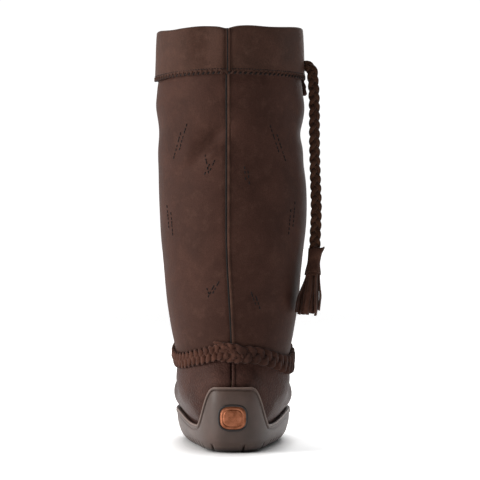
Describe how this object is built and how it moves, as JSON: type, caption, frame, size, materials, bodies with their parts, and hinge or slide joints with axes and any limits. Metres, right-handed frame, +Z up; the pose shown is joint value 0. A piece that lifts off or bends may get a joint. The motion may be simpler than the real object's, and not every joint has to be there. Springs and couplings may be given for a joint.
{
  "type": "tall moccasin boot",
  "caption": "Tall fleece-lined leather moccasin boot with a rubber cup sole, a braided ankle band and a braided side tie with a tassel.",
  "frame": {"origin": "on the ground, at the middle of the boot's bounding box without the tie cord and tassel", "axes": "+Z up along the shaft; the toe points to -Y and the heel to +Y; +X is the medial side of this right boot, -X the lateral side with the tie"},
  "size_m": [0.163, 0.2813, 0.39],
  "materials": {
    "shaft_leather": "soft dark brown leather with a waxy, low sheen",
    "foot_leather": "pebble-grained red-brown leather",
    "cuff_leather": "soft brown leather, a little lighter",
    "seam_leather": "dark rolled seam leather",
    "suede": "matt brown suede strands",
    "tassel_suede": "matt red-brown suede",
    "sole_rubber": "taupe moulded rubber, satin",
    "badge_copper": "copper-coloured moulded inlay",
    "badge_rim": "black-brown moulded rubber",
    "fleece": "brown curly fleece",
    "footbed_foam": "grey foam",
    "footbed_fleece": "cream-tan fleece",
    "midsole_foam": "tan foam",
    "board": "pressed fibre board",
    "thread": "dark waxed thread"
  },
  "bodies": {
    "root": {"outsole": "sole_rubber", "heel_badge": "badge_copper", "heel_badge_rim": "badge_rim", "midsole": "midsole_foam", "insole_board": "board", "heel_counter": "board", "toe_puff": "board", "foot_wrap": "foot_leather", "heel_welt": "seam_leather", "apron": "foot_leather", "apron_cord": "seam_leather", "foot_lining": "fleece", "apron_lining": "fleece", "shaft_medial": "shaft_leather", "shaft_lateral": "shaft_leather", "back_welt": "seam_leather", "front_welt": "seam_leather", "shaft_lining": "fleece", "cuff_medial": "cuff_leather", "cuff_lateral": "cuff_leather", "drawstring": "suede", "side_thong": "suede", "ankle_braid": "suede", "braid_tail": "suede"},
    "footbed": {"footbed": "footbed_foam", "footbed_fleece": "footbed_fleece"},
    "tie_top": {"tie_cord_top": "suede"},
    "tie": {"tie_cord": "suede"},
    "tassel": {"tassel_head": "tassel_suede", "tassel_fringe": "tassel_suede"}
  },
  "joints": [
    {"name": "footbed_lift", "type": "hinge", "parent": "root", "child": "footbed", "pos_m": [0, -0.1275, 0.0224], "axis": [1, 0, 0], "range_deg": [0, 4]},
    {"name": "tie_swing", "type": "hinge", "parent": "root", "child": "tie_top", "pos_m": [-0.0686, 0.078, 0.358], "axis": [1, 0, 0], "range_deg": [-35, 35]},
    {"name": "tie_lift", "type": "hinge", "parent": "tie_top", "child": "tie", "pos_m": [-0.0763, 0.0787, 0.346], "axis": [0, 1, 0], "range_deg": [0, 60]},
    {"name": "tassel_swing", "type": "hinge", "parent": "tie", "child": "tassel", "pos_m": [-0.078, 0.0854, 0.192], "axis": [1, 0, 0], "range_deg": [-4, 25]}
  ]
}
